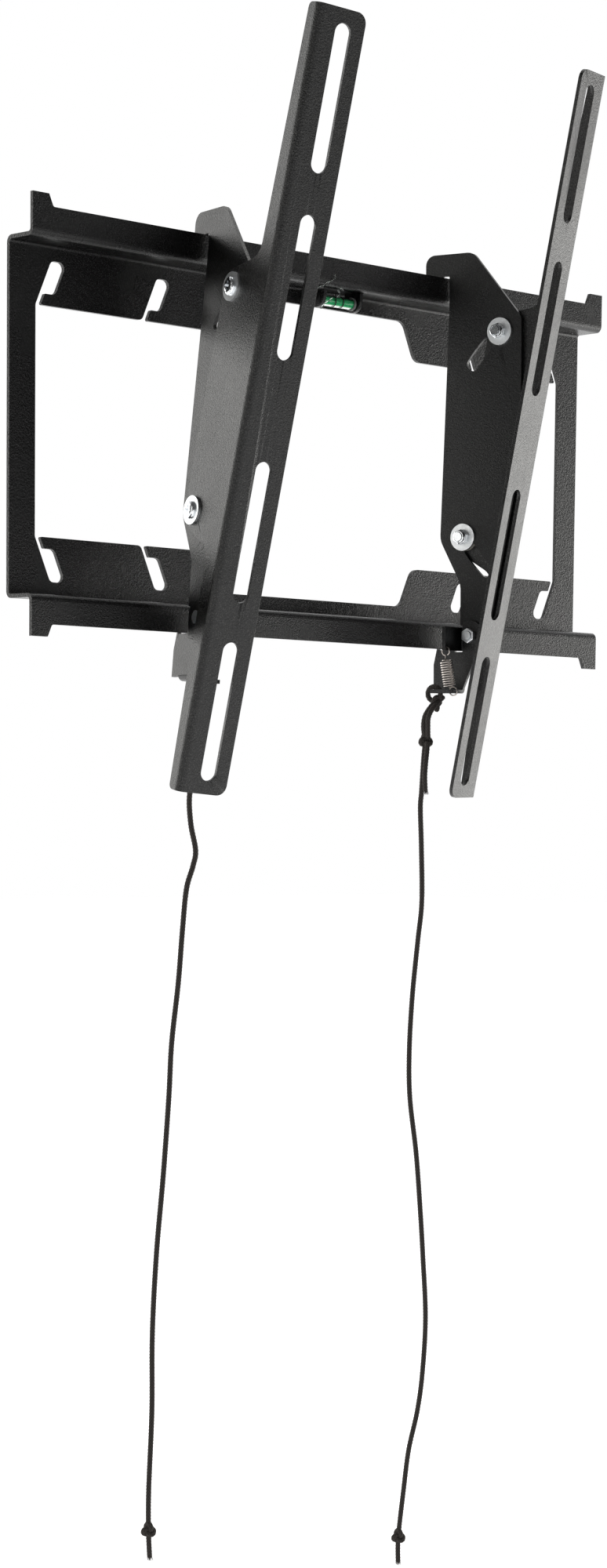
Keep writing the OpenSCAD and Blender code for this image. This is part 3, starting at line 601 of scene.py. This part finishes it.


# %% [markdown]
# Powder coat melts on the metal in small rounded islands. Close up it is a fine orange peel.
# The group makes the peel as a height, a mask of small specks that the materials paint lighter
# as glints of light, and a roughness that drifts slowly over the sheet.

# %% Group: the grain of powder coat
powder, powder_in, powder_out = new_group(
    "powder_grain",
    [("Vector", "NodeSocketVector", None), ("Grain", "NodeSocketFloat", 1100.0),
     ("Glint Share", "NodeSocketFloat", 0.54), ("Smooth", "NodeSocketFloat", 0.27),
     ("Rough", "NodeSocketFloat", 0.35)],
    [("Height", "NodeSocketFloat"), ("Painted Glints", "NodeSocketFloat"), ("Roughness", "NodeSocketFloat")])
peel = noise_node(powder, powder_in.outputs["Vector"], powder_in.outputs["Grain"], 3.0, 0.6)
powder.links.new(peel, powder_out.inputs["Height"])
# Painted glints: where a finer noise rises above the share, the mask marks specks that the materials colour
# lighter, standing for sparkle of light on the peel.
finer = math_node(powder, "MULTIPLY", powder_in.outputs["Grain"], 1.5)
glint_noise = noise_node(powder, powder_in.outputs["Vector"], finer, 1.0, 0.5)
over = math_node(powder, "SUBTRACT", glint_noise, powder_in.outputs["Glint Share"])
powder.links.new(math_node(powder, "MULTIPLY", over, 7.0, clamp=True), powder_out.inputs["Painted Glints"])
drift = noise_node(powder, powder_in.outputs["Vector"], 26.0, 2.0, 0.5)
powder.links.new(range_node(powder, drift, 0.3, 0.7, powder_in.outputs["Smooth"],
                            powder_in.outputs["Rough"]), powder_out.inputs["Roughness"])
print("powder_grain:", [s.name for s in powder.interface.items_tree])

# %% [markdown]
# A knock or a drag leaves one short dark mark. The group measures how far a point is from the
# mark's middle, in units of the mark's own size, with a little noise so that its edge is ragged.

# %% Group: one scuff
scuff, scuff_in, scuff_out = new_group(
    "scuff_mark",
    [("Vector", "NodeSocketVector", None), ("Place", "NodeSocketVector", (0.0, 0.0, 0.0)),
     ("Size", "NodeSocketVector", (0.001, 0.001, 0.001))],
    [("Mask", "NodeSocketFloat")])
away = scuff.nodes.new("ShaderNodeVectorMath")
away.operation = "SUBTRACT"
scuff.links.new(scuff_in.outputs["Vector"], away.inputs[0])
scuff.links.new(scuff_in.outputs["Place"], away.inputs[1])
shrunk = scuff.nodes.new("ShaderNodeVectorMath")
shrunk.operation = "DIVIDE"
scuff.links.new(away.outputs[0], shrunk.inputs[0])
scuff.links.new(scuff_in.outputs["Size"], shrunk.inputs[1])
far = scuff.nodes.new("ShaderNodeVectorMath")
far.operation = "LENGTH"
scuff.links.new(shrunk.outputs[0], far.inputs[0])
ragged = noise_node(scuff, scuff_in.outputs["Vector"], 1500.0, 2.0, 0.6)
reach = math_node(scuff, "ADD", far.outputs["Value"], ragged)
scuff.links.new(range_node(scuff, reach, 1.25, 1.55, 1.0, 0.0), scuff_out.inputs["Mask"])
print("scuff_mark:", [s.name for s in scuff.interface.items_tree])

# %% [markdown]
# Zinc plate is bright but not a mirror: it has soft cloudy patches and fine lines from the
# rolled wire or the press. The group gives a tint, a roughness and a height.

# %% Group: zinc plate
zinc_group, zinc_in, zinc_out = new_group(
    "zinc_plate",
    [("Vector", "NodeSocketVector", None), ("Cloud", "NodeSocketFloat", 420.0),
     ("Smooth", "NodeSocketFloat", 0.26), ("Rough", "NodeSocketFloat", 0.36)],
    [("Tint", "NodeSocketFloat"), ("Roughness", "NodeSocketFloat"), ("Height", "NodeSocketFloat")])
cloud = noise_node(zinc_group, zinc_in.outputs["Vector"], zinc_in.outputs["Cloud"], 3.0, 0.6)
zinc_group.links.new(range_node(zinc_group, cloud, 0.3, 0.7, 0.6, 1.0), zinc_out.inputs["Tint"])
zinc_group.links.new(range_node(zinc_group, cloud, 0.3, 0.7, zinc_in.outputs["Rough"],
                                zinc_in.outputs["Smooth"]), zinc_out.inputs["Roughness"])
lines = noise_node(zinc_group, zinc_in.outputs["Vector"], 2600.0, 2.0, 0.5)
zinc_group.links.new(lines, zinc_out.inputs["Height"])

# %% [markdown]
# The cord's fibres run along its strands. The UV map counts strands round the cord and humps
# along it, so two slanted waves give the fibres, and the lattice of humps paints shade into the
# gaps between them.

# %% Group: the weave of the cord
weave, weave_in, weave_out = new_group(
    "cord_weave", [("Vector", "NodeSocketVector", None), ("Fibres", "NodeSocketFloat", 5.0)],
    [("Height", "NodeSocketFloat"), ("Hump", "NodeSocketFloat")])
split = weave.nodes.new("ShaderNodeSeparateXYZ")
weave.links.new(weave_in.outputs["Vector"], split.inputs[0])
round_wave = math_node(weave, "COSINE", math_node(weave, "MULTIPLY", split.outputs["X"], 2 * pi))
long_wave = math_node(weave, "COSINE", math_node(weave, "MULTIPLY", split.outputs["Y"], 2 * pi))
lattice = math_node(weave, "MULTIPLY", round_wave, long_wave)
hump = range_node(weave, lattice, -1.0, 1.0, 0.0, 1.0)
weave.links.new(hump, weave_out.inputs["Hump"])
slant = math_node(weave, "ADD", split.outputs["X"], split.outputs["Y"])
turns = math_node(weave, "MULTIPLY", slant, weave_in.outputs["Fibres"])
fibre = math_node(weave, "SINE", math_node(weave, "MULTIPLY", turns, 2 * pi))
weave.links.new(math_node(weave, "ADD", hump, math_node(weave, "MULTIPLY", fibre, 0.12)),
                weave_out.inputs["Height"])


# %% [markdown]
# A material then needs only its colours, its groups and one bump. The helpers below keep each
# finish to a few lines.

# %% Helpers for materials
def new_material(name, colour, metallic=0.0, roughness=0.5):
    material = bpy.data.materials.new(name)
    material.use_nodes = True
    shader = material.node_tree.nodes["Principled BSDF"]
    shader.inputs["Base Color"].default_value = (*colour, 1.0)
    shader.inputs["Metallic"].default_value = metallic
    shader.inputs["Roughness"].default_value = roughness
    place = material.node_tree.nodes.new("ShaderNodeTexCoord")
    return material, material.node_tree, shader, place


def put_group(tree, group, vector, **values):
    node = tree.nodes.new("ShaderNodeGroup")
    node.node_tree = group
    tree.links.new(vector, node.inputs["Vector"])
    for name, value in values.items():
        node.inputs[name.replace("_", " ")].default_value = value
    return node


def bump_from(tree, shader, height, depth, strength=1.0):
    bump = tree.nodes.new("ShaderNodeBump")
    bump.inputs["Distance"].default_value = depth
    bump.inputs["Strength"].default_value = strength
    tree.links.new(height, bump.inputs["Height"])
    tree.links.new(bump.outputs["Normal"], shader.inputs["Normal"])


def mix_colour(tree, mask, first, second):
    mix = tree.nodes.new("ShaderNodeMix")
    mix.data_type = "RGBA"
    tree.links.new(mask, mix.inputs["Factor"])
    for socket, value in ((mix.inputs["A"], first), (mix.inputs["B"], second)):
        if isinstance(value, tuple):
            socket.default_value = (*value, 1.0)
        else:
            tree.links.new(value, socket)
    return mix.outputs["Result"]


# %% Powder coat for plate, hook plates, arms and levers
PEEL_DEPTH = 0.3 * MM


def powder_coat(name, colour, glint_colour, scuffs=(), shine=0.5, **values):
    material, tree, shader, place = new_material(name, colour)
    grain = put_group(tree, powder, place.outputs["Object"], **values)
    # Painted glints: the specks are mixed toward the lighter glint colour.
    tone = mix_colour(tree, grain.outputs["Painted Glints"], colour, glint_colour)
    for spot, size in scuffs:
        mark = put_group(tree, scuff, place.outputs["Object"], Place=spot, Size=size)
        tone = mix_colour(tree, mark.outputs["Mask"], tone, (0.002, 0.002, 0.002))
    tree.links.new(tone, shader.inputs["Base Color"])
    tree.links.new(grain.outputs["Roughness"], shader.inputs["Roughness"])
    shader.inputs["Specular IOR Level"].default_value = shine
    bump_from(tree, shader, grain.outputs["Height"], PEEL_DEPTH, 0.9)
    return material


ARM_SCUFFS = [((-0.1157, -0.0435, 0.0600), (0.0012, 0.0007, 0.0024)),
              ((-0.1159, -0.0426, 0.0564), (0.0012, 0.0005, 0.0022))]
HOOK_SPECKS = [((-0.1047, -0.0260, 0.1188), (0.0006, 0.0006, 0.0006)),
               ((-0.1060, -0.0294, 0.1112), (0.0006, 0.0006, 0.0006)),
               ((-0.1081, -0.0399, 0.1097), (0.0006, 0.0006, 0.0006))]
# The second colour of each coat is the lighter colour of its painted glints.
plate_coat = powder_coat("plate_powder_coat", (0.003, 0.003, 0.003), (0.024, 0.024, 0.024), shine=0.46,
                         Smooth=0.22, Rough=0.3)
hook_coat = powder_coat("hook_powder_coat", (0.004, 0.004, 0.004), (0.03, 0.03, 0.029), HOOK_SPECKS, 0.42)
arm_coat = powder_coat("arm_powder_coat", (0.006, 0.006, 0.006), (0.075, 0.074, 0.07), ARM_SCUFFS)
lever_coat = powder_coat("lever_powder_coat", (0.004, 0.004, 0.004), (0.03, 0.03, 0.03))

# %% Zinc, spring wire and white bushes
def zinc_finish(name, smooth, rough, dull, bright):
    material, tree, shader, place = new_material(name, bright, 1.0, rough)
    cloudy = put_group(tree, zinc_group, place.outputs["Object"], Smooth=smooth, Rough=rough)
    tree.links.new(mix_colour(tree, cloudy.outputs["Tint"], dull, bright), shader.inputs["Base Color"])
    tree.links.new(cloudy.outputs["Roughness"], shader.inputs["Roughness"])
    bump_from(tree, shader, cloudy.outputs["Height"], 0.01 * MM, 0.2)
    return material


bolt_zinc = zinc_finish("bolt_zinc", 0.12, 0.22, (0.55, 0.58, 0.6), (0.88, 0.9, 0.92))
nut_zinc = zinc_finish("nut_zinc", 0.3, 0.44, (0.6, 0.64, 0.66), (0.93, 0.95, 0.97))
washer_zinc = zinc_finish("washer_zinc", 0.36, 0.48, (0.6, 0.62, 0.63), (0.88, 0.9, 0.91))

wire, tree, shader, place = new_material("spring_wire_steel", (0.4, 0.37, 0.34), 1.0, 0.34)
drawn = put_group(tree, zinc_group, place.outputs["Object"], Cloud=420.0)
tree.links.new(mix_colour(tree, drawn.outputs["Tint"], (0.2, 0.175, 0.155), (0.66, 0.61, 0.57)),
               shader.inputs["Base Color"])
tree.links.new(drawn.outputs["Roughness"], shader.inputs["Roughness"])

nylon, tree, shader, place = new_material("white_nylon", (0.72, 0.7, 0.62), 0.0, 0.45)
milky = noise_node(tree, place.outputs["Object"], 90.0, 2.0, 0.5)
tree.links.new(mix_colour(tree, milky, (0.62, 0.6, 0.52), (0.78, 0.76, 0.7)), shader.inputs["Base Color"])
bump_from(tree, shader, milky, 0.02 * MM, 0.3)

# %% Braided cord
cord_finish, tree, shader, place = new_material("black_braid", (0.09, 0.08, 0.075), 0.0, 0.85)
woven = put_group(tree, weave, place.outputs["UV"])
# Painted shade: the gaps between the braid's humps get the darker colour.
tree.links.new(mix_colour(tree, woven.outputs["Hump"], (0.06, 0.054, 0.05), (0.115, 0.104, 0.098)),
               shader.inputs["Base Color"])
shader.inputs["Specular IOR Level"].default_value = 0.12
shader.inputs["Sheen Weight"].default_value = 0.06
shader.inputs["Sheen Roughness"].default_value = 0.5
bump_from(tree, shader, woven.outputs["Height"], 0.08 * MM, 0.8)

# %% Vial, liquid, bubble and marks of the level
clear, tree, shader, place = new_material("clear_acrylic", (0.93, 1.0, 0.95), 0.0, 0.06)
shader.inputs["Transmission Weight"].default_value = 1.0
shader.inputs["IOR"].default_value = 1.49
ripple = noise_node(tree, place.outputs["Object"], 300.0, 2.0, 0.5)
bump_from(tree, shader, ripple, 0.02 * MM, 0.2)

green, tree, shader, place = new_material("green_liquid", (0.03, 0.55, 0.2), 0.0, 0.2)
depth_noise = noise_node(tree, place.outputs["Object"], 120.0, 2.0, 0.5)
tree.links.new(mix_colour(tree, depth_noise, (0.01, 0.42, 0.14), (0.08, 0.72, 0.3)),
               shader.inputs["Base Color"])

pale, tree, shader, place = new_material("bubble_green", (0.45, 0.9, 0.6), 0.0, 0.15)
tree.links.new(mix_colour(tree, noise_node(tree, place.outputs["Object"], 200.0), (0.3, 0.85, 0.5),
                          (0.6, 0.97, 0.75)), shader.inputs["Base Color"])

# Painted light: the band's grey is light caught in the clear wall at the vial's end.
grey, tree, shader, place = new_material("painted_lit_ring", (0.3, 0.3, 0.3), 0.0, 0.4)
tree.links.new(mix_colour(tree, noise_node(tree, place.outputs["Object"], 500.0), (0.2, 0.2, 0.2),
                          (0.42, 0.42, 0.41)), shader.inputs["Base Color"])

ink, tree, shader, place = new_material("black_ink", (0.01, 0.01, 0.01), 0.0, 0.5)
tree.links.new(mix_colour(tree, noise_node(tree, place.outputs["Object"], 900.0), (0.004, 0.004, 0.004),
                          (0.02, 0.02, 0.02)), shader.inputs["Base Color"])

# %% [markdown]
# ## Dress every solid
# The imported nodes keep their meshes. Each one gets its finish, and a narrow bevel on folded
# sheet metal catches a line of light along every cut edge, as a real edge does.

# %% Put the finishes on
NODE_FINISH = {
    "hook_plate": hook_coat, "tilt_arm": arm_coat, "latch_lever": lever_coat,
    "latch_stud": nut_zinc, "latch_nut": nut_zinc, "upper_bolt": bolt_zinc,
    "lower_bolt": bolt_zinc, "upper_nut": bolt_zinc, "lower_nut": bolt_zinc,
    "upper_washer": washer_zinc, "lower_washer": washer_zinc, "upper_backing": washer_zinc,
    "lower_backing": washer_zinc, "upper_bush": nylon, "lower_bush": nylon, "latch_spring": wire,
    "cord_tie": cord_finish, "pull_cord": cord_finish, "end_knot": cord_finish,
    "middle_knot": cord_finish,
}
PLATE_FINISH = {"wall_plate": plate_coat, "level_vial": clear, "level_liquid": green}
SHEET_NODES = ("wall_plate", "left_hook_plate", "right_hook_plate", "left_tilt_arm", "right_tilt_arm",
               "left_latch_lever", "right_latch_lever")
NUT_NODES = tuple(f"{side}_{nut}" for side in ("left", "right") for nut in
                  ("latch_nut", "upper_nut", "lower_nut"))
EDGE_BEVEL = 0.25 * MM
NUT_BEVEL = 0.45 * MM
EDGE_ANGLE = 50 * pi / 180
WELD_GAP = 0.004 * MM


def soften_edges(piece, width):
    weld = piece.modifiers.new("join_corners", "WELD")
    weld.merge_threshold = WELD_GAP
    bevel = piece.modifiers.new("edge_bevel", "BEVEL")
    bevel.width = width
    bevel.segments = 2
    bevel.limit_method = "ANGLE"
    bevel.angle_limit = EDGE_ANGLE
    bevel.use_clamp_overlap = True


def dress(piece, material):
    piece.data.materials.clear()
    piece.data.materials.append(material)


for name, node in frame["nodes"].items():
    finish = PLATE_FINISH.get(name) or NODE_FINISH[name.split("_", 1)[1]]
    for holder in node.material_slots:
        holder.material = finish
    if name in SHEET_NODES:
        soften_edges(node, EDGE_BEVEL)
    elif name in NUT_NODES:
        soften_edges(node, NUT_BEVEL)
for piece in [*cords.values(), *knots.values(), second_strand, cut_tail, *frays.values(),
              *[t for pair in ties.values() for t in pair]]:
    dress(piece, cord_finish)
for spring in springs.values():
    dress(spring, wire)
for mark in marks:
    dress(mark, ink)
for piece in (seat, *caps):
    dress(piece, plate_coat)
for strip in floor_strips.values():
    dress(strip, lever_coat)
for thread in threads:
    dress(thread, clear)
dress(lit_ring, grey)
dress(bubble, pale)
print("dressed", len(frame["nodes"]), "solids")

# %% [markdown]
# ## Light
# Black powder coat has almost no colour of its own: what one reads is its shine. A pale backdrop
# behind the bracket and a soft box to the right give the long highlights, and it stays dark
# behind the camera, which keeps the sheets that face it black. The camera sees the backdrop
# plain white, and every other ray sees it go from dark in front to pale behind.

# %% Backdrop tones in the world
VIEW_WAY = -CAMERA_BACK
world = bpy.data.worlds.new("pale_studio")
world.use_nodes = True
bpy.context.scene.world = world
tree = world.node_tree
sky = tree.nodes["Background"]
place = tree.nodes.new("ShaderNodeTexCoord")
facing = tree.nodes.new("ShaderNodeVectorMath")
facing.operation = "DOT_PRODUCT"
facing.inputs[1].default_value = (VIEW_WAY.x, VIEW_WAY.y, 0.0)
tree.links.new(place.outputs["Generated"], facing.inputs[0])
ramp = tree.nodes.new("ShaderNodeValToRGB")
tree.links.new(range_node(tree, facing.outputs["Value"], -1.0, 1.0, 0.0, 1.0), ramp.inputs["Fac"])
ramp.color_ramp.elements[0].position = 0.0
ramp.color_ramp.elements[0].color = (0.05, 0.05, 0.05, 1)
ramp.color_ramp.elements[1].position = 1.0
ramp.color_ramp.elements[1].color = (1.0, 1.0, 1.0, 1)
for at, tone in ((0.5, 0.1), (0.6, 0.4), (0.7, 0.95)):
    ramp.color_ramp.elements.new(at).color = (tone, tone, tone, 1)
path = tree.nodes.new("ShaderNodeLightPath")
seen = tree.nodes.new("ShaderNodeMix")
seen.data_type = "RGBA"
tree.links.new(path.outputs["Is Camera Ray"], seen.inputs["Factor"])
tree.links.new(ramp.outputs["Color"], seen.inputs["A"])
seen.inputs["B"].default_value = (1, 1, 1, 1)
tree.links.new(seen.outputs["Result"], sky.inputs["Color"])
sky.inputs["Strength"].default_value = 1.0


# %% Soft boxes
def soft_box(name, place, aim, size, watts):
    lamp = bpy.data.lights.new(name, "AREA")
    lamp.shape = "RECTANGLE"
    lamp.size, lamp.size_y = size
    lamp.energy = watts
    lamp.color = (1.0, 0.99, 0.955)
    box = bpy.data.objects.new(name, lamp)
    bpy.context.scene.collection.objects.link(box)
    way = (Vector(aim) - Vector(place)).normalized()
    box.matrix_world = Matrix.Translation(place) @ way.to_track_quat("-Z", "Y").to_matrix().to_4x4()
    box.visible_camera = False
    print(name, watts, "W")


soft_box("right_soft_box", (2.0, -0.6, -0.32), (0, -0.05, 0), (1.0, 1.2), 19)
soft_box("back_left_soft_box", (-0.7, 1.9, 0.2), (0, -0.05, 0), (1.3, 1.6), 13)
soft_box("left_fill_box", (-1.9, 0.45, 0.25), (0, -0.05, 0), (0.9, 1.3), 4.4)
soft_box("top_soft_box", (0.7, -0.1, 1.9), (0, -0.05, 0), (1.2, 1.2), 8)

# %% [markdown]
# ## Floor
# The bracket hangs well above a pale floor. Most of the floor's tone is its own and the rest is
# light, so it reads as white and still takes a faint shadow.

# %% Lay the floor
FLOOR_Z = -0.79
mesh = bmesh.new()
bmesh.ops.create_grid(mesh, x_segments=1, y_segments=1, size=14,
                      matrix=Matrix.Translation((0, 0, FLOOR_Z)))
floor = finished("floor", mesh, smooth=False)
floor_finish = bpy.data.materials.new("pale_floor")
floor_finish.use_nodes = True
tree = floor_finish.node_tree
shader = tree.nodes["Principled BSDF"]
shader.inputs["Base Color"].default_value = (0.9, 0.9, 0.9, 1)
shader.inputs["Roughness"].default_value = 0.9
path = tree.nodes.new("ShaderNodeLightPath")
shader.inputs["Emission Color"].default_value = (1, 1, 1, 1)
shown = math_node(tree, "MAXIMUM", path.outputs["Is Camera Ray"], path.outputs["Is Glossy Ray"])
shown = math_node(tree, "MAXIMUM", shown, path.outputs["Is Transmission Ray"])
glow = math_node(tree, "MULTIPLY", shown, 0.8)
tree.links.new(glow, shader.inputs["Emission Strength"])
dress(floor, floor_finish)

scene = bpy.context.scene
scene.view_settings.view_transform = "Standard"
